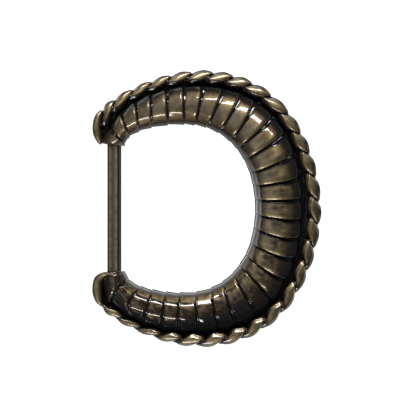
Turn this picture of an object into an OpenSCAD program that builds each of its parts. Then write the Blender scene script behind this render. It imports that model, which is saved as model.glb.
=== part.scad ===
// D-ring buckle, cast in one piece: a D-shaped frame that looks wound with flat metal strip,
// a rope edge round its outside, and a plain straight bar for the strap.
// It lies on its flat back, with the ornamented side up and the strap bar on the left.

/* [Strap bar] */
// Width of the strap that fits between the two ends of the frame
strap_w = 30; // [29.4:0.2:30.6]
// Width of the bar across its foot
bar_w = 3.4; // [3:0.1:3.5]
// Height of the bar's face above the back of the buckle
bar_top = 3.1; // [2.7:0.1:3.3]

/* [Wound frame] */
// Height of the frame's crest at the middle of the curve
crest_h = 6.6; // [6:0.1:7.2]
// Share of the spacing at mid width that the strip covers
strip_fill = 0.94; // [0.9:0.01:0.96]
// How far the tucked edge of a turn lies below its face
lap_step = 0.38; // [0.25:0.01:0.45]
// Depth of the line between two turns
seam_depth = 0.62; // [0.5:0.01:0.75]

/* [Rope edge] */
// Width of the rope across its strands
rope_w = 3.3; // [3:0.1:3.5]
// Height of the rope above the back of the buckle
rope_h = 3.9; // [3.5:0.1:4.2]
// Depth of the groove between two strands
groove_depth = 0.6; // [0.4:0.05:0.8]

/* [Hidden] */
antique_brass = [0.36, 0.31, 0.22];

// The curve is drawn in polar form round a point left of the middle of the buckle.
polar_x = -6.1;
end_y = strap_w / 2;

// Half of the curve, which the other half mirrors. Columns: angle from the middle of the
// curve, foot of the inner wall, channel beside the rope, outline of the rope, crest height
// as a share of the middle's.
ANGLE = 0;
WALL = 1;
CHANNEL = 2;
OUTLINE = 3;
CREST = 4;
CURVE = [
    [0, 17.6, 28.9, 33.6, 1],
    [15, 17.8, 29.3, 33.75, 1],
    [30, 18.5, 30.3, 34.35, 1],
    [45, 19.3, 31.1, 35.1, 0.99],
    [60, 20, 31, 35.1, 0.97],
    [75, 20.25, 30.1, 34.2, 0.94],
    [90, 20.15, 29.2, 32.9, 0.91],
    [105, 20.4, 28.8, 31.7, 0.86],
    [118, 21.05, 28.5, 31.25, 0.8],
    [127, 21.2, 27.9, 31, 0.75],
    [134, 20.2, 26.8, 29.8, 0.71],
    [139.5, 20.2, 25.1, 28.3, 0.68],
    [144, 20.2, 23.4, 24.6, 0.66],
];

// The ends and the seams between turns, from the upper end round to the lower one. Columns:
// angle at the crease, at mid width and at the channel, angle of the rope's notch there,
// and which turn laps the other: 1 the earlier one, -1 the later one, 0 a free end.
NOTCH = 3;
LAP = 4;
SEAMS = [
    [135.4, 140.8, 144, 144, 0],
    [131.6, 131.9, 131.6, 129, -1],
    [125.4, 124.1, 123, 121.5, 1],
    [118.1, 115.7, 114.2, 112, 1],
    [109.6, 107.3, 106, 103, 1],
    [99, 98.2, 98, 94.3, 1],
    [88.2, 88.9, 89.5, 85.4, 1],
    [80.7, 80.2, 81, 76.6, 1],
    [72.5, 71, 71.4, 68.3, 1],
    [63.6, 62.4, 62.9, 60.3, 1],
    [53.8, 54.1, 56, 51.2, 1],
    [46.6, 45.2, 45.8, 41.3, 1],
    [37.1, 35.9, 36.6, 32, 1],
    [27, 25.3, 26.4, 23, 1],
    [17.4, 14.7, 15.1, 13, 1],
    [6.5, 4.7, 4.9, 2.7, 1],
    [-4.6, -6.1, -4.9, -7, 1],
    [-15.1, -16.4, -13.7, -17, 1],
    [-26.6, -26.3, -23.5, -26.7, 1],
    [-35.9, -36.2, -34, -36.8, 1],
    [-44.3, -44.4, -45, -47, 1],
    [-52.3, -54, -54.6, -57, -1],
    [-61.8, -64, -65.3, -66, -1],
    [-70.4, -72.1, -73.1, -75, -1],
    [-80.6, -81.9, -82.5, -84.6, -1],
    [-91.4, -91.6, -91.9, -94.3, -1],
    [-100.5, -99.9, -100.3, -103.4, -1],
    [-109.6, -109.2, -110, -113, -1],
    [-118.4, -119.2, -118.4, -122.5, -1],
    [-126.9, -128.6, -127.7, -130.5, -1],
    [-135.4, -140.8, -144, -144, 0],
];
turns = len(SEAMS) - 1;

// The wound part of the section, from the crease outwards. Columns: share of the way from
// the crease to the channel, share of the crest's height, and how far a seam cuts in there.
FACE = [
    [0, 0.5, 0.45],
    [0.06, 0.68, 0.8],
    [0.2, 0.93, 1],
    [0.45, 1, 1],
    [0.66, 0.95, 1],
    [0.84, 0.76, 1],
    [1, 0.46, 0.8],
];
foot_share = -0.15;  // the inner wall's foot lies this far inside the crease
wall_cut = 0.25;
core_share = 0.5;
core_height = 0.35;

// The rope part of the section, from the channel outwards. Columns: share of the way from
// the channel to the outline, share of the rope's height, and how far a groove cuts in there.
ROPE = [
    [0, 0.5, 0],
    [0.1, 0.78, 0.7],
    [0.34, 0.98, 1.3],
    [0.64, 0.98, 1.4],
    [0.88, 0.8, 1.2],
    [1, 0.48, 0.9],
    [0.9, 0.16, 0.8],
    [0.72, 0, 0.6],
];
rope_core_height = 0.45;
rope_skew = 2.8;     // degrees by which a groove leads at the rope's inner side
channel_gap = 0.35;

// The square ends of the frame, where the bar leaves it.
end_crease = -20.6;
end_channel = -24.9;
end_foot = -19.8;
end_crest = 4.3;
end_side = 1.75;     // height of the rounded outer corner
end_round = 0.6;     // and how far it reaches out
end_turn = 0.4;      // share of the last turn over which the section turns square
end_lean = 0.3;      // how far the section clears the end's plane across the turn

function mix(a, b, t) = a + (b - a) * t;

// A value of the curve at an angle, on a smooth line through the rows of the table.
function cubic(p, t) =
    let (m1 = (p[2] - p[0]) / 2, m2 = (p[3] - p[1]) / 2)
    p[1] + m1 * t + (3 * (p[2] - p[1]) - 2 * m1 - m2) * t * t
        + (2 * (p[1] - p[2]) + m1 + m2) * t * t * t;
function row_below(a, i = 0) =
    i >= len(CURVE) - 2 || CURVE[i + 1][ANGLE] > a ? i : row_below(a, i + 1);
function row_value(i, column) =
    i < 0 ? CURVE[-i][column] : CURVE[min(i, len(CURVE) - 1)][column];
function curve(angle, column) =
    let (
        a = abs(angle),
        i = row_below(a),
        t = (a - CURVE[i][ANGLE]) / (CURVE[i + 1][ANGLE] - CURVE[i][ANGLE]),
        p = [for (j = [-1:2]) row_value(i + j, column)]
    )
    cubic(p, min(t, 1));

// The inner wall leans back by its casting draft, a little more along the lower arc.
function draft(angle) = 1.1 - 0.25 * sin(angle);
function crease(angle) = curve(angle, WALL) + draft(angle);
function crest(angle) = curve(angle, CREST) * crest_h;
function across(angle, share) = mix(crease(angle), curve(angle, CHANNEL), share);

function polar_point(angle, r, z) = [polar_x + r * cos(angle), r * sin(angle), z];

// In the first and last turns a point of the section is drawn to its place in the square end,
// along a quarter of an ellipse, so that the end is a rounded collar.
function ended(k, place, p, x, z) =
    let (
        side = k == 0 ? 1 : -1,
        from_end = k == 0 ? place : 1 - place,
        t = min(1, from_end / end_turn),
        q = mix([x, side * end_y, z], p, sqrt(t * (2 - t))),
        nearest = end_y + end_lean * from_end
    )
    k == 0 || k == turns - 1 ? [q[0], side * max(nearest, side * q[1]), q[2]] : p;

// The angle of a seam at a share of the way across, on a parabola through its three angles.
function seam_angle(k, s) =
    let (q = SEAMS[k])
    q[0] * (1 - s) * (1 - 2 * s) + q[1] * 4 * s * (1 - s) + q[2] * s * (2 * s - 1);

// The part of the spacing that the strip leaves bare: next to none inside, a wedge outside.
bare_least = 0.05;
function bare(angle, share) =
    max(bare_least, 1 - strip_fill * across(angle, core_share) / across(angle, share));

// The rings of one turn. Each has its place between the two seams and its depth there.
// A tucked edge keeps low as far as the strip is bare, and a lapping edge is a rounded lip.
rings_per_turn = 6;
function tucked(edge) = [[0, seam_depth], [edge, lap_step], [edge + 0.04, 0.03]];
function lapping() = [[0, seam_depth], [0.035, 0.14], [0.12, 0]];
function middle() = [0.5, -0.06];
function upper_end() = [[0, 0.5], [0.1, 0.15], [0.22, 0]];
function lower_end() = [[0, 0.35], [0.14, 0.05], [0.32, 0.45]];  // a rim stands before it
function edge_rings(lap, tucked_lap, edge) =
    lap == 0 ? (tucked_lap == 1 ? upper_end() : lower_end())
    : lap == tucked_lap ? tucked(edge) : lapping();
function ring_place(k, ring, edge) =
    ring < 3 ? edge_rings(SEAMS[k][LAP], 1, edge)[ring]
    : ring == 3 ? middle()
    : let (e = edge_rings(SEAMS[k + 1][LAP], -1, edge)[rings_per_turn - ring])
        [1 - e[0], e[1]];

function face_point(k, ring, share, height, cut) =
    let (
        from = seam_angle(k, share),
        to = seam_angle(k + 1, share),
        place = ring_place(k, ring, bare(mix(from, to, 0.5), max(share, 0))),
        angle = mix(from, to, place[0]),
        r = share < 0 ? curve(angle, WALL) : across(angle, share),
        core_r = across(angle, core_share),
        core_z = crest(angle) * core_height,
        z = crest(angle) * height,
        keep = 1 - place[1] * cut / norm([r - core_r, z - core_z]),
        p = polar_point(angle, mix(core_r, r, keep), height == 0 ? 0 : mix(core_z, z, keep)),
        end_x = share < 0 ? end_foot : mix(end_crease, end_channel, share)
    )
    ended(k, place[0], p, end_x, end_crest * height);

// A strand swells from one groove to the next, and each groove runs askew over the rope.
function strand_place(ring) =
    [[0, 1], [0.09, 0.55], [0.24, 0.1], [0.5, -0.1], [0.76, 0.1], [0.91, 0.55], [1, 1]][ring];
function rope_point(k, ring, share, height, cut, turned) =
    let (
        skew = rope_skew * (1 - share),
        place = strand_place(ring),
        angle = mix(SEAMS[k][NOTCH], SEAMS[k + 1][NOTCH], place[0]) + skew,
        outline = curve(angle, OUTLINE),
        inner = max(curve(angle, CHANNEL) + channel_gap, outline - rope_w),
        high = rope_h * min(1, (outline - inner) / rope_w),
        r = mix(inner, outline, share),
        core_r = mix(inner, outline, 0.5),
        core_z = high * rope_core_height,
        z = high * height,
        keep = 1 - groove_depth * place[1] * cut / norm([r - core_r, z - core_z]),
        p = polar_point(angle, mix(core_r, r, keep), height == 0 ? 0 : mix(core_z, z, keep))
    )
    ended(k, place[0], p, end_channel - end_round * sin(turned), end_side * cos(turned));

function frame_ring(k, ring) =
    concat(
        [face_point(k, ring, foot_share, 0, wall_cut)],
        [for (p = FACE) face_point(k, ring, p[0], p[1], p[2])],
        [for (i = [0:len(ROPE) - 1])
            let (p = ROPE[i]) rope_point(k, ring, p[0], p[1], p[2], 90 * i / (len(ROPE) - 1))]
    );

module buckle_casting() {
    rings = concat(
        [for (k = [0:turns - 1], ring = [0:rings_per_turn - 1]) frame_ring(k, ring)],
        [frame_ring(turns - 1, rings_per_turn)],
        [bar_ring(-end_y), bar_ring(end_y)]
    );
    n = len(rings[0]);
    sides = [
        for (i = [0:len(rings) - 1], j = [0:n - 1])
            let (
                next = ((i + 1) % len(rings)) * n,
                a = i * n + j,
                b = i * n + (j + 1) % n,
                c = next + j,
                d = next + (j + 1) % n
            )
            each [[a, b, c], [b, d, c]]
    ];
    color(antique_brass)
        polyhedron([for (r = rings) each r], sides);
}

// The bar's sides lean in by their draft. Its section has as many points as the frame's,
// so that the square end of the frame closes on it.
bar_left = -24;
bar_back = 0.3;
draft_left = 0.2;
draft_right = 0.55;
bar_edge = 0.2;
bar_steps = [1, 1, 5, 1, 7];  // points along the side, corner, face, corner and side
BAR = [
    [bar_left + bar_w, bar_back],
    [bar_left + bar_w - draft_right, bar_top - bar_edge],
    [bar_left + bar_w - draft_right - bar_edge, bar_top],
    [bar_left + draft_left + bar_edge, bar_top],
    [bar_left + draft_left, bar_top - bar_edge],
    [bar_left, bar_back],
];
function bar_ring(y) =
    concat(
        [for (i = [0:4], j = [0:bar_steps[i] - 1])
            let (p = mix(BAR[i], BAR[i + 1], j / bar_steps[i])) [p[0], y, p[1]]],
        [[BAR[5][0], y, BAR[5][1]]]
    );

buckle_casting();
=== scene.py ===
# A D-ring buckle, die-cast in zinc with an antique brass plate. It lies on its flat back.
# The casting is one solid. Its three kinds of surface are dressed here one after the other:
# the frame that looks wound with flat strip, the rope edge round it, and the strap bar.
import math

import bmesh
import bpy
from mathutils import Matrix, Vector, noise


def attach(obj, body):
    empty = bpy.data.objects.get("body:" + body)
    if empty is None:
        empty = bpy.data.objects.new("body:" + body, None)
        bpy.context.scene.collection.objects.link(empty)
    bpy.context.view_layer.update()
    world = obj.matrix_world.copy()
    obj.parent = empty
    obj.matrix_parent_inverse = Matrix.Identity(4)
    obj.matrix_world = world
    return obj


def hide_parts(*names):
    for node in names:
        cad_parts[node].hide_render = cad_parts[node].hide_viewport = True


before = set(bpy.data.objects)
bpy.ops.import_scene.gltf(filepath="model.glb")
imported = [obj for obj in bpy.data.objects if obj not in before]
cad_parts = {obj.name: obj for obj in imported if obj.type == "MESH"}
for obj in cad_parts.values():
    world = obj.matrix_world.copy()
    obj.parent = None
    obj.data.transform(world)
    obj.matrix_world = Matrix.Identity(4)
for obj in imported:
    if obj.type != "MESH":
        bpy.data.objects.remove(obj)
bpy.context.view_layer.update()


# The camera looks straight down on the buckle, from as far as a product photo is taken,
# and sees 100 mm of the table across the picture.
MM = 0.001
view_width = 99.84 * MM
camera_above = 380 * MM
aim = Vector((0.24, 0.12, 1.9)) * MM
nearest_seen = 10 * MM

camera = bpy.data.objects.new("camera", bpy.data.cameras.new("camera"))
bpy.context.scene.collection.objects.link(camera)
camera.location = aim + Vector((0, 0, camera_above))
camera.data.lens = camera.data.sensor_width * camera_above / view_width
camera.data.clip_start = nearest_seen
bpy.context.scene.camera = camera


# The table is a plain white sheet lit through from below. Two soft boxes light the buckle
# from behind and before, the one behind about twice as strong. The tent round them is dim,
# and brightest a little to the left of straight overhead.
table_size, table_drop = 4.0, 0.02 * MM
paper_grey, paper_rough, paper_shine, paper_glow = 0.25, 0.9, 0.1, 1
tent_white = (0.97, 0.98, 1)
tent_dark, tent_bright = 0.1, 0.95
tent_middle = (-0.4, 0.15, 0.9)
tent_fall = 9
bpy.context.scene.view_settings.view_transform = "Standard"

table = bpy.data.objects.new("table", bpy.data.meshes.new("table"))
bpy.context.scene.collection.objects.link(table)
bm = bmesh.new()
bmesh.ops.create_grid(bm, x_segments=1, y_segments=1, size=table_size / 2)
bmesh.ops.translate(bm, verts=bm.verts, vec=(0, 0, -table_drop))
bm.to_mesh(table.data)
bm.free()
paper = bpy.data.materials.new("white_paper")
paper.use_nodes = True
paper_shader = paper.node_tree.nodes["Principled BSDF"]
paper_shader.inputs["Base Color"].default_value = (paper_grey, paper_grey, paper_grey, 1)
paper_shader.inputs["Roughness"].default_value = paper_rough
paper_shader.inputs["Specular IOR Level"].default_value = paper_shine
paper_shader.inputs["Emission Color"].default_value = (1, 1, 1, 1)
paper_shader.inputs["Emission Strength"].default_value = paper_glow
table.data.materials.append(paper)

tent = bpy.data.worlds.new("light_tent")
tent.use_nodes = True
tent_nodes, tent_links = tent.node_tree.nodes, tent.node_tree.links
toward = tent_nodes.new("ShaderNodeVectorMath")
toward.operation = "DOT_PRODUCT"
toward.inputs[1].default_value = tent_middle
near_middle = tent_nodes.new("ShaderNodeMapRange")
near_middle.inputs["From Min"].default_value = 0
fall = tent_nodes.new("ShaderNodeMath")
fall.operation = "POWER"
fall.inputs[1].default_value = tent_fall
glow = tent_nodes.new("ShaderNodeMapRange")
glow.inputs["To Min"].default_value = tent_dark
glow.inputs["To Max"].default_value = tent_bright
direction = tent_nodes.new("ShaderNodeTexCoord")
tent_links.new(direction.outputs["Generated"], toward.inputs[0])
tent_links.new(toward.outputs["Value"], near_middle.inputs["Value"])
tent_links.new(near_middle.outputs["Result"], fall.inputs[0])
tent_links.new(fall.outputs[0], glow.inputs["Value"])
tent_links.new(glow.outputs["Result"], tent_nodes["Background"].inputs["Strength"])
tent_nodes["Background"].inputs["Color"].default_value = (*tent_white, 1)
bpy.context.scene.world = tent


def soft_box(name, place, wide, deep, power):
    """A rectangular soft box that faces the buckle. Its place and size are in metres."""
    light = bpy.data.lights.new(name, "AREA")
    light.shape = "RECTANGLE"
    light.size = wide
    light.size_y = deep
    light.energy = power
    box = bpy.data.objects.new(name, light)
    box.location = place
    box.rotation_euler = (-Vector(place)).to_track_quat("-Z", "Y").to_euler()
    bpy.context.scene.collection.objects.link(box)


soft_box("soft_box_behind", place=(0.1, 0.74, 0.62), wide=0.74, deep=0.16, power=12.3)
soft_box("soft_box_before", place=(-0.14, -0.75, 0.62), wide=0.54, deep=0.14, power=5.6)


# The wound frame is the D itself: thirty turns of flat strip that lap each other, cast in
# relief on a drafted inner wall, with a deep channel between them and the rope.
# It is zinc with an antique brass plate, blackened in the seams and rubbed on the faces.

# Half of the D's curve, in mm and degrees, which the other half mirrors. Columns: angle from
# the middle of the curve, foot of the inner wall, channel beside the rope, outline of the
# rope, and crest height as a share of the middle's.
ANGLE, WALL, CHANNEL, OUTLINE, CREST = range(5)
CURVE = [
    (0, 17.6, 28.9, 33.6, 1),
    (15, 17.8, 29.3, 33.75, 1),
    (30, 18.5, 30.3, 34.35, 1),
    (45, 19.3, 31.1, 35.1, 0.99),
    (60, 20, 31, 35.1, 0.97),
    (75, 20.25, 30.1, 34.2, 0.94),
    (90, 20.15, 29.2, 32.9, 0.91),
    (105, 20.4, 28.8, 31.7, 0.86),
    (118, 21.05, 28.5, 31.25, 0.8),
    (127, 21.2, 27.9, 31, 0.75),
    (134, 20.2, 26.8, 29.8, 0.71),
    (139.5, 20.2, 25.1, 28.3, 0.68),
    (144, 20.2, 23.4, 24.6, 0.66),
]
curve_x = -6.1  # where the curve's centre is, in mm
upper_inset = 1.8  # how far the channel is drawn in towards the upper end, in mm
crest_height = 6.56
strap_width = 30
end_y = strap_width / 2

# The seams between turns, from the upper end round to the lower one. Columns: angle at the
# crease, at mid width and at the channel, angle of the rope's notch there, and which turn
# laps the other: 1 the earlier one, -1 the later one, 0 a free end.
AT_CREASE, AT_MIDDLE, AT_CHANNEL, NOTCH, LAP = range(5)
SEAMS = [
    (135.4, 140.8, 144, 144, 0),
    (131.6, 131.9, 131.6, 129, -1),
    (125.4, 124.1, 123, 121.5, 1),
    (118.1, 115.7, 114.2, 112, 1),
    (109.6, 107.3, 106, 103, 1),
    (99, 98.2, 98, 94.3, 1),
    (88.2, 88.9, 89.5, 85.4, 1),
    (80.7, 80.2, 81, 76.6, 1),
    (72.5, 71, 71.4, 68.3, 1),
    (63.6, 62.4, 62.9, 60.3, 1),
    (53.8, 54.1, 56, 51.2, 1),
    (46.6, 45.2, 45.8, 41.3, 1),
    (37.1, 35.9, 36.6, 32, 1),
    (27, 25.3, 26.4, 23, 1),
    (17.4, 14.7, 15.1, 13, 1),
    (6.5, 4.7, 4.9, 2.7, 1),
    (-4.6, -6.1, -4.9, -7, 1),
    (-15.1, -16.4, -13.7, -17, 1),
    (-26.6, -26.3, -23.5, -26.7, 1),
    (-35.9, -36.2, -34, -36.8, 1),
    (-44.3, -44.4, -45, -47, 1),
    (-52.3, -54, -54.6, -57, -1),
    (-61.8, -64, -65.3, -66, -1),
    (-70.4, -72.1, -73.1, -75, -1),
    (-80.6, -81.9, -82.5, -84.6, -1),
    (-91.4, -91.6, -91.9, -94.3, -1),
    (-100.5, -99.9, -100.3, -103.4, -1),
    (-109.6, -109.2, -110, -113, -1),
    (-118.4, -119.2, -118.4, -122.5, -1),
    (-126.9, -128.6, -127.7, -130.5, -1),
    (-135.4, -140.8, -144, -144, 0),
]
turns = len(SEAMS) - 1

# The section from the channel's floor over the strip to the crease. Columns: share of the way
# from the crease to the channel, share of the crest's height, how far round the corner there
# is eased, how far a seam cuts in, how black the plate is, matt above 1, and how rubbed. In
# this and every other section the ease is the third column.
EASE = 2
crest_share = 0.44
SECTION = [
    (1.2, 0.21, 0.0, 0.0, 1.3, 0.0),
    (1.07, 0.20, 0.3, 0.0, 1.2, 0.0),
    (1.0, 0.31, 0.3, 0.1, 1.35, 0.0),
    (0.97, 0.64, 0.25, 0.7, 1.5, 0.0),
    (0.86, 0.775, 0.4, 1.0, 0.5, 0.0),
    (0.74, 0.885, 0.35, 1.0, 0.1, 0.2),
    (0.62, 0.965, 0.35, 1.0, 0.0, 0.3),
    (crest_share, 1.0, 0.5, 1.0, 0.1, 0.2),
    (0.27, 0.955, 0.3, 1.0, 0.0, 0.4),
    (0.13, 0.85, 0.3, 0.9, 0.3, 0.1),
    (0.0, 0.705, 0.2, 0.4, 0.6, 0.0),
]
corner_points, leg_points = 6, 3
# The inner wall below the crease, which leans out from both faces of the casting to a
# parting line. Columns: share of its lean, drop in leans, ease, share of that height.
WALL_PROFILE = [
    (1, 0, 0, 1),
    (0.5, 0.68, 0.3, 1),
    (0.18, 2.2, 0.04, 1),
    (0, 2.38, 0.1, 1),
    (0.2, 2.38, 0, 0),
]
wall_corner, wall_leg, back_rows = 3, 2, 3
brown_wall = 0.3  # how much of its black the wall loses up at the crease
wall_matt = 0.35  # and how much it gains at the top of the D, where it is matt
back_black = 0.3
wall_cut = 0.12  # how far the seams cut into the wall, as a share of their depth in the face
# By how much the wall steps back at each seam, in mm: at the ends of the D, and how much of
# that is missing round the middle.
saw_at_ends, saw_less = 0.275, 0.25
# How far a seam bends on below the crease, and where it meets the wall's foot, as shares.
seam_from, foot_share = -0.2, -0.15

# The edges of a turn. Columns: share of the bare margin, place beyond it as a share of the
# turn, depth in mm, how black and how rubbed. A tucked edge leaves a low margin before the
# face rises, a lapping edge ends in a rounded lip, and the free ends are rounded over.
TUCKED = [
    (0, 0, 0.78, 1, 0),
    (0.06, 0, 0.64, 1, 0),
    (0.12, 0, 0.54, 1, 0),
    (0.5, 0, 0.52, 1, 0),
    (0.9, 0, 0.53, 1, 0),
    (1, 0, 0.58, 1, 0),
    (1, 0.006, 0.46, 1, 0),
    (1, 0.013, 0.29, 1, 0),
    (1, 0.02, 0.14, 1, 0),
    (1, 0.025, 0.09, 0.9, 0),
    (1, 0.035, 0.075, 0.7, 0),
    (1, 0.08, 0.065, 0.35, 0),
    (1, 0.14, 0.05, 0.15, 0),
    (1, 0.24, 0.03, 0, 0.2),
]
LAPPING = [
    (0, 0, 0.75, 1, 0),
    (0, 0.006, 0.6, 1, 0),
    (0, 0.014, 0.47, 0.9, 0.2),
    (0, 0.028, 0.37, 0.3, 0.8),
    (0, 0.05, 0.29, 0, 1),
    (0, 0.09, 0.2, 0, 1),
    (0, 0.14, 0.11, 0, 1),
    (0, 0.2, 0.03, 0, 0.9),
    (0, 0.27, -0.02, 0, 0.5),
    (0, 0.34, -0.03, 0, 0.1),
]
UPPER_END = [
    (0, 0, 0.5, 1.5, 0),
    (0, 0.05, 0.26, 1.3, 0),
    (0, 0.1, 0.12, 0.8, 0),
    (0, 0.16, 0.03, 0.4, 0.2),
    (0, 0.22, 0.0, 0.3, 0.4),
    (0, 0.28, 0.02, 0.3, 0.1),
    (0, 0.34, 0.0, 0, 0.3),
]
LOWER_END = [
    (0, 0, 0.5, 0.8, 0),
    (0, 0.06, 0.38, 0.6, 0),
    (0, 0.13, 0.34, 0.55, 0),
    (0, 0.17, 0.28, 0.7, 0),
    (0, 0.2, 0.17, 0.7, 0),
    (0, 0.24, 0.08, 0.5, 0),
    (0, 0.3, 0.02, 0.3, 0.1),
    (0, 0.38, 0, 0.2, 0.3),
]
# Between the edges, at a share of the way from one to the other.
MIDDLE = [(0, 0.35, 0.01, 0, 0), (0, 0.7, 0, 0, 0.1)]
# How much of their width the edges take towards the ends of the D, against its middle.
tight_edges = 0.5
# The share of a turn that its strip fills at mid width, and the least margin beside it.
strip_fill, bare_least = 0.915, 0.08
# The stain on the middle of each face round the D's middle: how black it is, the place and
# share of its middle, how far that wanders from turn to turn, and half its size each way.
crest_stain = 0.4
stain_place, stain_share = 0.45, 0.47
stain_wander, wander_pattern = 0.3, (2.7, 1, 0)
stain_long, stain_wide = 0.34, 0.17
# How much blacker the faces are on the upper half, on the lower one, where that is painted
# shade, and towards the lower end, and how uneven that is.
upper_darkening, lower_painted_shade, left_stain = 0.12, 0.42, 0.3
patchy, patch_pattern = 1.1, (3.1, 6, 12)
# Painted shade on the outer part of each face round the D's middle, and round an angle at the
# lower right, where it also takes the gloss; each starts at a share of the way across and grows
# over a further reach.
painted_outer_shade, outer_from, outer_reach = 0.3, 0.5, 0.36
painted_corner_shade, corner_shade_from, corner_shade_reach = 0.55, 0.45, 0.2
corner_shade_angle, corner_shade_spread = -70, 27
# The strip's inner edge ends at a share. On the lower half its black is thinned, painted light
# where it faces the light, and it is blacker round the middle. The faces end at another, and
# beyond it the lower half is blacker.
inner_to, inner_painted_light, inner_black = 0.15, 0.6, 0.1
face_to, lower_soot = 0.9, 0.35
end_brown = 0.58  # the most that the first and last faces are blackened
seam_matt = 0.5  # how much blacker the seams are round the D's middle, where they are matt
channel_rough, channel_grain = 0.35, 0.9  # how uneven the channel's floor is, and how finely
# How much higher a face is at its later edge, in mm, and how much of that is missing round
# the D's middle.
face_lean, lean_less = 0.55, 0.17
uneven, stray_pattern = 0.09, (5.3, 1.7, 4)  # how far the faces stray from true, and how
# The core that depths are measured towards, a share of the way across and of the height.
core_share, core_height = 0.5, 0.35
# How far the wall's foot stands in from the crease, in mm: at the ends of the D, what it
# gains round the middle, and what it loses on the upper half and gains on the lower one.
lean_at_ends, lean_in_middle, lean_below = 0.8, 0.3, 0.2
inner_squeeze = 0.9  # how much steeper the strip's inner edge is round the D's middle
turn_width, turn_length = 4, 10  # about what a turn measures, in mm, for its brush marks
weld = 0.002 * MM  # points nearer than this become one

# The rope stands beside the channel, whose floor runs in under it, in mm.
rope_width = 3.7
channel_gap = 0.35
beyond_channel = 1.1  # shares above this are of the floor under the rope
under_rope = 0.5
ends_from = 124  # the angle from which the floor runs out to under the end strands
under_end = 0.6
end_under = -26.1
# How much further out and to the left the last turn's face reaches, in mm.
last_spread, last_left = 1.1, 0.55

# The square ends of the frame, where the bar leaves it, in mm.
end_crease, end_foot = -20.6, -19.8
upper_channel, lower_channel = -25.9, -24.9
end_crest = 4.3
end_round = 0.7


def mix(a, b, t):
    """From a at t = 0 to b at t = 1."""
    return a + (b - a) * t


def arch(t):
    """From 0 at t = 0 up to 1 halfway and back to 0 at t = 1."""
    return 4 * t * (1 - t)


def through(before, here, there, after, t):
    """The value at t, from 0 here to 1 there, on a smooth line through four values."""
    leave, arrive = (there - before) / 2, (after - here) / 2
    bend = 3 * (there - here) - 2 * leave - arrive
    twist = 2 * (here - there) + leave + arrive
    return here + leave * t + bend * t * t + twist * t * t * t


def along_curve(angle, column):
    """A value of the D's curve at an angle, on a smooth line through the rows."""
    a = min(abs(angle), CURVE[-1][ANGLE])
    i = max(j for j in range(len(CURVE) - 1) if CURVE[j][ANGLE] <= a)
    t = (a - CURVE[i][ANGLE]) / (CURVE[i + 1][ANGLE] - CURVE[i][ANGLE])
    return through(*(CURVE[min(abs(i + j), len(CURVE) - 1)][column] for j in (-1, 0, 1, 2)), t)


def leftward(angle, side):
    """How far an angle is past the top, for side 1, or the bottom, for -1, towards the left."""
    return max(0, -math.cos(math.radians(angle))) if angle * side > 0 else 0


def above_and_below(angle):
    """How near an angle is to the top of the D and to its bottom, each from 0 to 1."""
    rise = math.sin(math.radians(angle))
    return max(0, rise), max(0, -rise)


def channel_radius(angle):
    """The radius of the channel beside the rope, which is drawn in on the upper left."""
    return along_curve(angle, CHANNEL) - upper_inset * leftward(angle, 1)


def rope_inside(angle):
    """The radius of the rope's inner side."""
    return max(channel_radius(angle) + channel_gap, along_curve(angle, OUTLINE) - rope_width)


def steepness(angle):
    """How steeply the strip's inner edge stands over the crease, most in the D's middle."""
    return max(0, math.cos(math.radians(angle))) ** 2


def across(angle, share):
    """The radius at a share of the way from the crease to the channel, and under the rope."""
    if share > beyond_channel and abs(angle) > ends_from:
        return along_curve(angle, OUTLINE) - under_end
    if share > beyond_channel:
        return rope_inside(angle) + under_rope
    steep = steepness(angle)
    lean = lean_at_ends + lean_in_middle * steep - lean_below * math.sin(math.radians(angle))
    crease = along_curve(angle, WALL) + lean
    if 0 < share < crest_share:
        share *= 1 - inner_squeeze * steep * (1 - share / crest_share)
    return mix(crease, channel_radius(angle), share)


def seam_angle(seam, share):
    """The angle of a seam at a share of the way across, on a parabola through its angles."""
    s = min(max(share, seam_from), 1)
    near, middle, far = (SEAMS[seam][at] for at in (AT_CREASE, AT_MIDDLE, AT_CHANNEL))
    return near * (1 - s) * (1 - 2 * s) + middle * arch(s) + far * s * (2 * s - 1)


def polar(angle, radius, height):
    """A point at an angle and radius about the centre of the D's curve."""
    a = math.radians(angle)
    return Vector((curve_x + radius * math.cos(a), radius * math.sin(a), height))


def square_end(turn, from_start, share, point, end_x, end_z):
    """Draws a point of the first or last turn, from its seam, towards the frame's square end."""
    if turn not in (0, turns - 1):
        return point
    side = 1 if turn == 0 else -1
    from_end = from_start if turn == 0 else 1 - from_start
    nearest = end_y + end_round * max(0, share) ** 2
    return Vector((end_x, side * nearest, end_z)).lerp(point, from_end)


def turn_angle(turn, place, share):
    """The angle of a point of a turn. The first and last turns start from their own seam."""
    start, stop = seam_angle(turn, share), seam_angle(turn + 1, share)
    if turn == 0:
        return stop
    if turn == turns - 1:
        return start
    return mix(start, stop, place)


def eased_line(rows, corner, leg):
    """Points along a line through the rows, with each corner rounded by its own ease. corner
    is how many points a corner gets, and leg how many steps a straight stretch."""
    points = [rows[0]]
    for before, row, after in zip(rows, rows[1:], rows[2:]):
        start = [mix(r, b, row[EASE]) for r, b in zip(row, before)]
        end = [mix(r, a, row[EASE]) for r, a in zip(row, after)]
        last = points[-1]
        points += [[mix(l, s, n / leg) for l, s in zip(last, start)] for n in range(1, leg)]
        for n in range(corner):
            t = n / (corner - 1)
            points.append([
                s * (1 - t) ** 2 + r * 2 * t * (1 - t) + e * t * t
                for s, r, e in zip(start, row, end)
            ])
    last = points[-1]
    points += [[mix(l, e, n / leg) for l, e in zip(last, rows[-1])] for n in range(1, leg + 1)]
    return points


def edge_of(seam, tucked_lap):
    """The stations of a turn's edge at a seam, tucked where the seam's lap is tucked_lap."""
    lap = SEAMS[seam][LAP]
    if lap == 0:
        return UPPER_END if seam == 0 else LOWER_END
    return TUCKED if lap == tucked_lap else LAPPING


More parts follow.
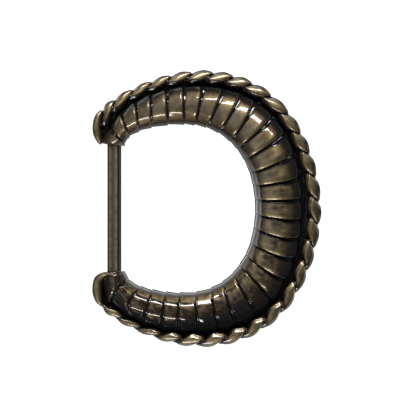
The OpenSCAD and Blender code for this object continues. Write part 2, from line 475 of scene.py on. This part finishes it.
def formed_grid(bm, columns, rows, form):
    """Adds a grid to the bmesh and moves each of its points to where form(column, row) says.
    form gives the place in mm, how black and how rubbed it is there, and the pattern's U, V."""
    grid = bmesh.ops.create_grid(bm, x_segments=columns - 1, y_segments=rows - 1, size=1)
    black = bm.verts.layers.float["black"]
    rubbed = bm.verts.layers.float["rubbed"]
    uv = bm.loops.layers.uv["strip"]
    pattern = {}
    faces = set()
    for vert in grid["verts"]:
        column = round((vert.co.x + 1) / 2 * (columns - 1))
        row = round((vert.co.y + 1) / 2 * (rows - 1))
        place, vert[black], vert[rubbed], pattern[vert] = form(column, row)
        vert.co = place * MM
        faces.update(vert.link_faces)
    for face in faces:
        for loop in face.loops:
            loop[uv].uv = pattern[loop.vert]


def new_relief():
    """An empty bmesh with the layers that the metal's finish reads."""
    bm = bmesh.new()
    bm.verts.layers.float.new("black")
    bm.verts.layers.float.new("rubbed")
    bm.loops.layers.uv.new("strip")
    return bm


def finished_piece(name, bm, metal):
    """Makes the bmesh a piece of the casting, closed at its ends, on the casting's one body."""
    bmesh.ops.remove_doubles(bm, verts=bm.verts, dist=weld)
    bmesh.ops.holes_fill(bm, edges=[e for e in bm.edges if e.is_boundary], sides=0)
    bmesh.ops.recalc_face_normals(bm, faces=bm.faces)
    for face in bm.faces:
        # Only the flat caps on open ends have more than four corners.
        face.smooth = len(face.verts) <= 4
    mesh = bpy.data.meshes.new(name)
    bm.to_mesh(mesh)
    bm.free()
    mesh.materials.append(metal)
    piece = bpy.data.objects.new(name, mesh)
    bpy.context.scene.collection.objects.link(piece)
    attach(piece, "root")
    return piece


# The plate's colours: soot, brown patina, tarnished brass and rubbed brass.
soot, patina = (0.006, 0.006, 0.006), (0.026, 0.015, 0.008)
tarnished, bright = (0.014, 0.009, 0.0045), (0.24, 0.181, 0.095)
# What the stains, brush marks, pits and rubbing each add to the brass's brightness, and the
# part of each noise that does so.
stain_adds, mark_adds, pit_adds, rubbing_adds = 0.46, 0.2, 0.18, 0.3
stain_range, mark_range, pit_range = (0.38, 0.62), (0.32, 0.68), (0.3, 0.7)
pit_scale = 3200
ragged = 0.16  # how far the stains shift the edge of the black
# How black the plate is where the brass turns brown, where that turns black, and where the
# lacquer goes. How rubbed it is where the lacquer thins, and what is left of it.
brown_range, black_range, matt_range = (0.15, 0.6), (0.45, 0.95), (1, 1.5)
worn_range, worn_coat = (0.5, 1), 0.7
brass_rough = (0.42, 0.54)
lacquer_ior = 1.5
# How deep the brush marks are beside the pits, and how strongly both show in the gloss.
mark_depth, bump_strength, bump_depth = 0.5, 0.15, 0.04 * MM


def antique_brass(name, blotch, streak, dull):
    """Zinc with a brass plate, blackened all over and rubbed back. blotch is the size of its
    stains, streak the stretch of its brush marks, and dull the roughness of its lacquer."""
    metal = bpy.data.materials.new(name)
    metal.use_nodes = True
    nodes, links = metal.node_tree.nodes, metal.node_tree.links
    shader = nodes["Principled BSDF"]

    def node(kind, **values):
        made = nodes.new(kind)
        for key, value in values.items():
            if hasattr(made, key):
                setattr(made, key, value)
            else:
                made.inputs[key].default_value = value
        return made

    def math_node(operation, *values):
        made = node("ShaderNodeMath", operation=operation)
        for socket, value in zip(made.inputs, values):
            if isinstance(value, (int, float)):
                socket.default_value = value
            else:
                links.new(value, socket)
        return made.outputs[0]

    def blend(share, low, high):
        """Two colours mixed, through the colour sockets A, B and Result of a Mix node."""
        made = node("ShaderNodeMix", data_type="RGBA")
        links.new(share, made.inputs["Factor"])
        for socket, value in zip((made.inputs[6], made.inputs[7]), (low, high)):
            if isinstance(value, tuple):
                socket.default_value = (*value, 1)
            else:
                links.new(value, socket)
        return made.outputs[2]

    def spread(value, low, high, to_low=0.0, to_high=1.0):
        """A value from low to high, mapped to run from to_low to to_high and no further."""
        made = node("ShaderNodeMapRange")
        links.new(value, made.inputs["Value"])
        for socket, number in zip(made.inputs[1:5], (low, high, to_low, to_high)):
            socket.default_value = number
        return made.outputs["Result"]

    place = node("ShaderNodeTexCoord")
    black = node("ShaderNodeAttribute", attribute_name="black").outputs["Fac"]
    rubbed = node("ShaderNodeAttribute", attribute_name="rubbed").outputs["Fac"]

    stains = node("ShaderNodeTexNoise", Scale=blotch, Detail=5, Roughness=0.6)
    links.new(place.outputs["Object"], stains.inputs["Vector"])
    pits = node("ShaderNodeTexNoise", Scale=pit_scale, Detail=3, Roughness=0.6)
    links.new(place.outputs["Object"], pits.inputs["Vector"])
    stretch = node("ShaderNodeMapping")
    stretch.inputs["Scale"].default_value = streak
    links.new(place.outputs["UV"], stretch.inputs["Vector"])
    brush = node("ShaderNodeTexNoise", Scale=1, Detail=4, Roughness=0.55)
    links.new(stretch.outputs["Vector"], brush.inputs["Vector"])

    stain = spread(stains.outputs["Fac"], *stain_range)
    mark = spread(brush.outputs["Fac"], *mark_range)
    grain = spread(pits.outputs["Fac"], *pit_range)
    tone = math_node("MULTIPLY", stain, stain_adds)
    tone = math_node("ADD", tone, math_node("MULTIPLY", mark, mark_adds))
    tone = math_node("ADD", tone, math_node("MULTIPLY", grain, pit_adds))
    tone = math_node("ADD", tone, math_node("MULTIPLY", rubbed, rubbing_adds))
    brass = blend(tone, tarnished, bright)
    shift = math_node("MULTIPLY", math_node("SUBTRACT", stain, 0.5), ragged)
    edge = math_node("ADD", black, shift)
    brown = blend(spread(edge, *brown_range), brass, patina)
    cover = spread(edge, *black_range)
    links.new(blend(cover, brown, soot), shader.inputs["Base Color"])
    links.new(spread(cover, 0, 1, 1, 0), shader.inputs["Metallic"])
    links.new(spread(mark, 0, 1, *brass_rough), shader.inputs["Roughness"])
    shader.inputs["Specular IOR Level"].default_value = 0
    glossy = spread(black, *matt_range, 1, 0)
    coat = math_node("MULTIPLY", glossy, spread(rubbed, *worn_range, 1, worn_coat))
    links.new(coat, shader.inputs["Coat Weight"])
    shader.inputs["Coat Roughness"].default_value = dull
    shader.inputs["Coat IOR"].default_value = lacquer_ior
    height = math_node("ADD", math_node("MULTIPLY", mark, mark_depth), pits.outputs["Fac"])
    bump = node("ShaderNodeBump", Strength=bump_strength, Distance=bump_depth)
    links.new(height, bump.inputs["Height"])
    links.new(bump.outputs["Normal"], shader.inputs["Normal"])
    return metal


section = eased_line(SECTION, corner_points, leg_points)
wall_rows = eased_line(WALL_PROFILE, wall_corner, wall_leg)


def place_of(turn, station, share, from_start):
    """Where a station stands across its turn, from 0 at its start to 1 at its stop."""
    if from_start is None:
        first = place_of(turn, edge_of(turn, 1)[-1], share, True)
        return mix(first, place_of(turn, edge_of(turn + 1, -1)[-1], share, False), station[1])
    middle = turn_angle(turn, 0.5, share)
    margin = 1 - strip_fill * across(middle, core_share) / across(middle, share)
    spread_out = 1 if turn in (0, turns - 1) else mix(tight_edges, 1, steepness(middle))
    place = station[0] * max(bare_least, margin) + station[1] * spread_out
    return place if from_start else 1 - place


def waver(pattern, turn, place, share):
    """Smooth noise that changes with the turn, the place and the share as fast as the
    pattern's three numbers say."""
    return noise.noise(Vector((turn * pattern[0], place * pattern[1], share * pattern[2])))


def blackened(turn, place, angle, share, black):
    """How black the plate is at a point of a turn, where its row of the section says black, with
    painted shade and painted light added on parts of the D.
    """
    above, below = above_and_below(angle)
    steep = steepness(angle)
    patch = 1 + patchy * waver(patch_pattern, turn, place, share)
    at_left = left_stain * leftward(angle, -1) * (2 * patch - 1)
    if share < inner_to:
        # On the lower half the inner edge loses black: painted light.
        return min(1, black * (1 - inner_painted_light * below) + inner_black * steep + at_left)
    if share >= face_to:
        return black + lower_soot * below
    # A stain wanders half as far across the strip as along it.
    wander = stain_wander * waver(wander_pattern, turn, 0.5, 0)
    off_middle = ((place - stain_place - wander) / stain_long) ** 2
    off_middle += ((share - stain_share - wander / 2) / stain_wide) ** 2
    black += crest_stain * steep * max(0, 1 - off_middle) * patch
    # Painted shade on the outer part of the faces round the D's middle.
    black += painted_outer_shade * steep * max(0, share - outer_from) / outer_reach
    # The lower half is darkened as painted shade and the upper half a little, both made uneven
    # by the patches.
    black += (upper_darkening * above + lower_painted_shade * below) * patch
    # Painted shade on the outer half of the faces round an angle at the lower right, which also
    # takes their gloss.
    off_corner = (angle - corner_shade_angle) / corner_shade_spread
    outer_half = min(1, max(0, share - corner_shade_from) / corner_shade_reach)
    return min(1, black + at_left) + painted_corner_shade * max(0, 1 - off_corner ** 2) * outer_half


def turn_point(turn, station, row, from_start):
    """A point of one turn, from a station of one of its edges and a row of the section."""
    _, _, depth, edge_black, edge_rubbed = station
    share, height, _, cut, black, rubbed = row
    place = place_of(turn, station, share, from_start)
    angle = turn_angle(turn, place, share)
    crest = along_curve(angle, CREST) * crest_height
    depth += (face_lean - lean_less * steepness(angle)) * (0.5 - place)
    depth += uneven * waver(stray_pattern, turn, place, share)
    core_r, core_z = across(angle, core_share), crest * core_height
    r, z = across(angle, share), crest * height
    end_channel = upper_channel if turn == 0 else lower_channel
    end_x = mix(end_crease, end_channel, share)
    if turn == turns - 1 and share < beyond_channel:
        r += last_spread * share
        end_x -= last_left * share
    keep = 1 - depth * cut / math.hypot(r - core_r, z - core_z)
    point = polar(angle, mix(core_r, r, keep), mix(core_z, z, keep))
    end_z = end_crest * height
    if turn in (0, turns - 1):
        end_x = mix(mix(end_crease, end_channel, core_share), end_x, keep)
        end_z = mix(end_crest * core_height, end_z, keep)
        if share > beyond_channel:
            end_x = end_under
    point = square_end(turn, place, share, point, end_x, end_z)
    if share > 1:
        point.z += channel_rough * noise.noise(point * channel_grain)
    black = blackened(turn, place, angle, share, black)
    if turn in (0, turns - 1) and share <= 1:
        black = min(black, end_brown)
    black = max(black, edge_black * cut * (1 + seam_matt * steepness(angle)))
    rubbed = max(rubbed * (1 - edge_black), edge_rubbed)
    return point, black, rubbed, ((turn + place) * turn_width, (1 - share) * turn_length)


def wall_point(turn, station, row, from_start):
    """A point of the inner wall, at a row of its profile."""
    out, drop, _, up = row
    top, _, _, pattern = turn_point(turn, station, section[-1], from_start)
    place = place_of(turn, station, 0, from_start)
    angle = turn_angle(turn, place, foot_share)
    stepped = (saw_at_ends - saw_less * steepness(angle)) * (0.5 - place)
    foot = polar(angle, along_curve(angle, WALL) + station[2] * wall_cut + stepped, 0)
    foot = square_end(turn, place, 0, foot, end_foot, 0)
    point = foot.lerp(top, out)
    point.z = (top.z - drop * (top - foot).xy.length) * up
    above, _ = above_and_below(angle)
    return point, 1 - brown_wall * out * out + wall_matt * above, 0, pattern


def back_point(turn, station, share_out, from_start):
    """A point of the flat back, from the wall's foot out to under the rope."""
    foot, _, _, pattern = wall_point(turn, station, WALL_PROFILE[-1], from_start)
    far = turn_point(turn, station, section[0], from_start)[0]
    far.z = 0
    return foot.lerp(far, share_out), back_black, 0, pattern


wound = new_relief()
for turn in range(turns):
    first = [(station, True) for station in edge_of(turn, 1)]
    second = [(station, False) for station in reversed(edge_of(turn + 1, -1))]
    middle = [(station, None) for station in MIDDLE]
    stations = first + middle + second

    def form(column, row):
        station, from_start = stations[column]
        if row < len(section):
            return turn_point(turn, station, section[row], from_start)
        row -= len(section) - 1
        if row < len(wall_rows):
            return wall_point(turn, station, wall_rows[row], from_start)
        row -= len(wall_rows) - 1
        if row <= back_rows:
            return back_point(turn, station, row / back_rows, from_start)
        return turn_point(turn, station, section[0], from_start)

    formed_grid(wound, len(stations), len(section) + len(wall_rows) + back_rows, form)
strip_brass = antique_brass("strip_brass", blotch=420, streak=(6, 0.35, 1), dull=0.06)
wound_frame = finished_piece("wound_frame", wound, strip_brass)
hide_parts("buckle_casting")


# The rope edge runs round the outside of the frame, about half as high as that: thirty
# strands in relief, each a leaf that starts at the inner side and ends at the outer one.
# Its strands are rubbed bright along their backs and black in the grooves between them.

# The inner side of a strand is a dark facet as far as the brass starts, and its brass ends at
# the outer rim, both as shares of the rope's width. The facet stands on an upright side.
brass_from, outer_rim = 0.1, 0.95
side_height = 2.35
# The rope's section, from the foot of its inner side over its back and round to its foot.
# Columns: share of its width, height in mm, ease, how far a groove cuts in, black, rubbed.
ROPE = [
    (0.10, 0.01, 0.0, 0.0, 1.0, 0.0),
    (0.03, 1.20, 0.3, 0.2, 1.2, 0.0),
    (0.00, side_height, 0.3, 0.9, 1.1, 0.0),
    (0.03, 2.80, 0.3, 1.0, 0.9, 0.0),
    (brass_from, 3.21, 0.2, 1.0, 0.3, 0.2),
    (0.25, 3.55, 0.2, 1.0, 0.1, 0.4),
    (0.36, 3.59, 0.4, 1.0, 0.0, 0.8),
    (0.55, 3.42, 0.4, 1.0, 0.0, 0.6),
    (0.75, 3.11, 0.35, 1.0, 0.1, 0.3),
    (0.88, 2.72, 0.4, 1.0, 0.3, 0.1),
    (outer_rim, 2.50, 0.2, 1.0, 1.6, 0.0),
    (0.98, 2.28, 0.2, 1.0, 1.6, 0.0),
    (1.00, 1.60, 0.2, 1.0, 1.6, 0.0),
    (0.98, 0.80, 0.3, 0.9, 1.5, 0.0),
    (0.95, 0.20, 0.2, 0.7, 1.0, 0.0),
    (0.90, 0.01, 0.0, 0.6, 1.0, 0.0),
    (0.10, 0.01, 0.0, 0.0, 1.0, 0.0),
]
# The facet follows the brass only so far where the brass narrows, and there it is brown, in
# full from a narrowing of a third.
facet_follows, facet_brown, facet_wide = 0.3, 0.5, 1 / 3
# Degrees by which a groove leads at the inner side, and what it adds at the top, at the
# bottom and towards the upper end.
rope_skew, skew_top, skew_bottom, skew_left = 3.4, 0.2, 1.6, 2.6
rope_twist = 0.35  # how far the back of a strand swings over from the inner side
# The core that depths are measured towards: share of the rope's width, and height in mm.
rope_core_share, rope_core_height = 0.5, 1.6
foot_height = 0.1  # rows below this, in mm, keep their height in the grooves

# A strand's start, its back and its stop. Columns: place from the groove as a share of the
# strand, depth in mm, how black and how rubbed. A thin second strand shows in the groove.
STRAND_START = [
    (0, 0.62, 1, 0),
    (0.025, 0.5, 1, 0),
    (0.045, 0.42, 0.8, 0.1),
    (0.06, 0.5, 1, 0),
    (0.08, 0.42, 1, 0),
    (0.1, 0.27, 0.7, 0),
    (0.13, 0.16, 0.2, 0.4),
    (0.19, 0.07, 0, 0.8),
    (0.28, 0.01, 0, 0.8),
]
STRAND_BACK = [(0.4, -0.02, 0, 0.7), (0.52, -0.03, 0, 0.6), (0.64, -0.02, 0, 0.7)]
STRAND_STOP = [
    (0, 0.64, 1, 0),
    (0.012, 0.6, 1, 0),
    (0.025, 0.52, 1, 0),
    (0.035, 0.33, 0.8, 0),
    (0.055, 0.2, 0.4, 0.2),
    (0.09, 0.12, 0.1, 0.6),
    (0.14, 0.06, 0, 0.8),
    (0.22, 0.01, 0, 0.8),
]
# How wide an edge is at the side where it is narrow, against its table, and what it gains by
# the other side.
edge_narrow, edge_flare = 0.7, 0.6
# How far a strand's sides round in towards its ends, as shares of the rope's width. Columns:
# inner side at the start, outer side at the start, inner and outer side at the stop.
NARROW_TOP = (0.33, 0.16, 0.0, 0.0)
NARROW_MIDDLE = (0.38, 0.0, 0.22, 0.0)
NARROW_BOTTOM = (0.45, 0.0, 0.4, 0.2)
# Where along a strand that begins and ends, at its start, with how sharply, and at its stop,
# with how much further it goes on at the bottom of the D.
start_from, start_to, start_bow = 0.05, 0.55, 1.4
stop_from, stop_to, stop_below = 0.06, 0.28, 0.16
# How much lower a strand is at its stop than at its start, in mm, what that gains towards the
# lower end, the place where it is true, and how much lower both are than the middle.
strand_fall, fall_left, fall_from, strand_bow = 0.25, 0.9, 0.4, 0.35
ridge_below = 0.1  # how much further out the back of a strand lies at the bottom of the D
# How black the stop of a strand is at the bottom of the D, and from which place, and the painted
# shade on its inner half at the top and on its outer half round the D's middle.
dark_tail, dark_from, painted_inner_shade, painted_side_shade = 1.4, 0.62, 1.8, 0.6
strand_length, strand_width = 5, 4  # about what a strand measures, in mm
rope_corner, rope_leg = 7, 3
rope_section = eased_line(ROPE, rope_corner, rope_leg)


def rounding(t):
    """From 1 at t = 0 down a quarter circle to 0 at t = 1."""
    return 1 - math.sqrt(1 - (1 - max(0, t)) ** 2)


def narrowing(place, above, below, full):
    """How far a strand's inner and outer sides round in, as shares of the rope's width."""
    start_inner, start_outer, stop_inner, stop_outer = (
        (m + (t - m) * above + (b - m) * below) * full
        for t, m, b in zip(NARROW_TOP, NARROW_MIDDLE, NARROW_BOTTOM)
    )
    at_start = min(1, max(0, (start_to - place) / (start_to - start_from))) ** start_bow
    rounded = stop_to + stop_below * below - stop_from
    at_stop = rounding(min(1, (1 - place - stop_from) / rounded))
    inner = start_inner * at_start + stop_inner * at_stop
    return inner, start_outer * at_start + stop_outer * at_stop


def strand_point(strand, station, from_start, row):
    """A point of one strand, from a station along it and a row of the section."""
    place, depth, edge_black, edge_rubbed = station
    share, height, _, cut, black, rubbed = row
    if from_start is not None:
        place *= edge_narrow + edge_flare * (share if from_start else 1 - share)
        place = place if from_start else 1 - place
    up_side = min(1, height / side_height)
    share += rope_twist * (place - 0.5) * arch(share) * up_side
    angle = mix(SEAMS[strand][NOTCH], SEAMS[strand + 1][NOTCH], place)
    above, below = above_and_below(angle)
    skew = rope_skew + skew_top * above + skew_bottom * below + skew_left * leftward(angle, 1)
    angle += skew * (1 - share)
    inner, outer = narrowing(place, above, below, up_side ** 2)
    if share < outer_rim:
        # Painted shade on the outer half of a strand round the D's middle.
        black += painted_side_shade * steepness(angle) * max(0, share - 0.5) / (outer_rim - 0.5)
        black += dark_tail * below * max(0, place - dark_from) / (1 - dark_from)
        # Painted shade on the inner half of a strand at the top.
        black += painted_inner_shade * above * max(0, 0.5 - share)
        black = min(1, black)
    share += ridge_below * below * arch(share) * (share > brass_from)
    if share < brass_from:
        if share > 0:
            black *= 1 - facet_brown * min(1, inner / facet_wide)
        edge = mix(inner, 1 - outer, brass_from)
        share = mix(inner * facet_follows, edge, share / brass_from)
    else:
        share = mix(inner, 1 - outer, share)
    outline, inside = along_curve(angle, OUTLINE), rope_inside(angle)
    slim = min(1, (outline - inside) / rope_width)
    r, z = mix(inside, outline, share), height * slim
    core_r, core_z = mix(inside, outline, rope_core_share), rope_core_height * slim
    fall = strand_fall + fall_left * leftward(angle, -1)
    depth += fall * (place - fall_from) + strand_bow * (2 * place - 1) ** 2
    keep = 1 - depth * cut / math.hypot(r - core_r, z - core_z)
    sunk_z = z if height < foot_height else mix(core_z, z, keep)
    point = polar(angle, mix(core_r, r, keep), sunk_z)
    pattern = ((strand + place) * strand_length, share * strand_width)
    rubbed = max(rubbed, edge_rubbed) * (1 - edge_black) * (1 - min(1, black))
    return point, max(black, edge_black * cut), rubbed, pattern


# The two end strands lie along the frame's left side. The lower one curls in over the end
# of the last turn. Columns: X and Y of the middle line, width and height, in mm.
UPPER_STRAND = [
    (-25.1, 23.5, 0.9, 2.8),
    (-26.0, 21.9, 1.8, 3.6),
    (-26.3, 19.8, 2.2, 3.9),
    (-26.2, 17.9, 2.1, 3.8),
    (-25.7, 16.3, 1.5, 3.3),
    (-25.3, 15.55, 0.9, 2.8),
]
LOWER_STRAND = [
    (-24.9, -23.5, 0.5, 2.6),
    (-25.4, -22.8, 1.2, 3.2),
    (-25.9, -21.8, 1.9, 3.6),
    (-26.15, -20.3, 2.45, 3.8),
    (-26.2, -18.6, 2.5, 3.8),
    (-25.95, -17.1, 2.25, 3.8),
    (-25.15, -16.2, 1.7, 3.9),
    (-24.0, -15.8, 1.15, 4.1),
    (-22.7, -15.75, 0.95, 4.5),
    (-21.5, -15.8, 0.5, 4.3),
]
# Columns: how far to the outer side of the middle line and up, ease, black, rubbed.
END_SECTION = [
    (0.92, 0.0, 0, 1, 0),
    (0.95, 0.25, 0.2, 1.5, 0),
    (1.0, 0.78, 0.2, 1.6, 0),
    (0.97, 0.87, 0.2, 1.5, 0),
    (0.84, 0.91, 0.3, 0.2, 0),
    (0.6, 0.96, 0.4, 0, 0.4),
    (0.2, 1.0, 0.4, 0, 0.9),
    (-0.3, 0.97, 0.4, 0, 0.9),
    (-0.75, 0.82, 0.4, 0.3, 0.4),
    (-0.95, 0.62, 0.3, 1.1, 0),
    (-1.0, 0.3, 0.3, 1.2, 0),
    (-0.95, 0.0, 0, 1, 0),
    (0.92, 0.0, 0, 1, 0),
]
end_section = eased_line(END_SECTION, rope_corner, rope_leg)
end_columns = 40
look_along = 0.01  # how far along the line its direction is taken
end_length, end_half_width = 8, 2  # about what they measure, in mm


def smooth_line(points, t):
    """A point at t, from 0 to 1, on a smooth line through the points."""
    at = t * (len(points) - 1)
    i = min(int(at), len(points) - 2)
    rows = [points[min(max(i + j, 0), len(points) - 1)] for j in (-1, 0, 1, 2)]
    return [through(*values, at - i) for values in zip(*rows)]


def end_strand_point(line, column, row):
    """A point of an end strand, at a step along its line and a row of its section."""
    t = column / (end_columns - 1)
    x, y, width, high = smooth_line(line, t)
    ahead = smooth_line(line, min(1, t + look_along))
    behind = smooth_line(line, max(0, t - look_along))
    along = Vector((ahead[0] - behind[0], ahead[1] - behind[1])).normalized()
    out, up, _, black, rubbed = end_section[row]
    outward = Vector((along.y, -along.x)) * (1 if y > 0 else -1)
    offset = outward * out * width / 2
    point = Vector((x + offset.x, y + offset.y, up * high))
    return point, black, rubbed, (t * end_length, out * end_half_width)


rope = new_relief()
for strand in range(1, turns - 1):
    stations = [(station, True) for station in STRAND_START]
    stations += [(station, None) for station in STRAND_BACK]
    stations += [(station, False) for station in reversed(STRAND_STOP)]

    def form(column, row):
        station, from_start = stations[column]
        return strand_point(strand, station, from_start, rope_section[row])

    formed_grid(rope, len(stations), len(rope_section), form)
for line in (UPPER_STRAND, LOWER_STRAND):

    def form(column, row):
        return end_strand_point(line, column, row)

    formed_grid(rope, end_columns, len(end_section), form)
rope_brass = antique_brass("rope_brass", blotch=520, streak=(0.5, 5, 1), dull=0.1)
finished_piece("rope_edge", rope, rope_brass)


# The strap bar is the plain straight piece between the two ends of the D, for the strap to
# turn round. It is cast with them, its sides lean in by their draft, and its face is rubbed
# along both edges and dark along the middle.
bar_left, bar_width, bar_height = -23.87, 3.35, 3.1
bar_overlap = 0.4  # how far it runs into the frame at each end, in mm
bar_columns, bar_corner, bar_leg = 60, 5, 6
# Columns: X in mm, height in mm, ease of the corner, black, rubbed.
BAR = [
    (bar_left + 1, 0.3, 0, 1, 0),
    (bar_left + 0.05, 0.3, 0.15, 1, 0),
    (bar_left, bar_height - 0.3, 0.1, 1, 0),
    (bar_left + 0.32, bar_height - 0.04, 0.3, 0.5, 0.2),
    (bar_left + 0.7, bar_height, 0.3, 0.0, 0.7),
    (bar_left + 1.4, bar_height - 0.08, 0.4, 0.5, 0),
    (bar_left + bar_width - 1.0, bar_height, 0.3, 0.0, 0.9),
    (bar_left + bar_width - 0.78, bar_height - 0.05, 0.3, 0.9, 0),
    (bar_left + bar_width - 0.62, bar_height - 0.15, 0.3, 1.15, 0),
    (bar_left + bar_width - 0.02, bar_height - 0.9, 0.03, 1.25, 0),
    (bar_left + bar_width - 0.14, 0.3, 0.15, 1, 0),
    (bar_left + 1, 0.3, 0, 1, 0),
]
bar_section = eased_line(BAR, bar_corner, bar_leg)


def bar_point(column, row):
    """A point of the bar, at a step along it and a row of its section."""
    x, z, _, black, rubbed = bar_section[row]
    y = mix(-end_y - bar_overlap, end_y + bar_overlap, column / (bar_columns - 1))
    return Vector((x, y, z)), black, rubbed, (y, x)


bar = new_relief()
formed_grid(bar, bar_columns, len(bar_section), bar_point)
bar_brass = antique_brass("bar_brass", blotch=600, streak=(0.4, 5, 1), dull=0.06)
finished_piece("strap_bar", bar, bar_brass)
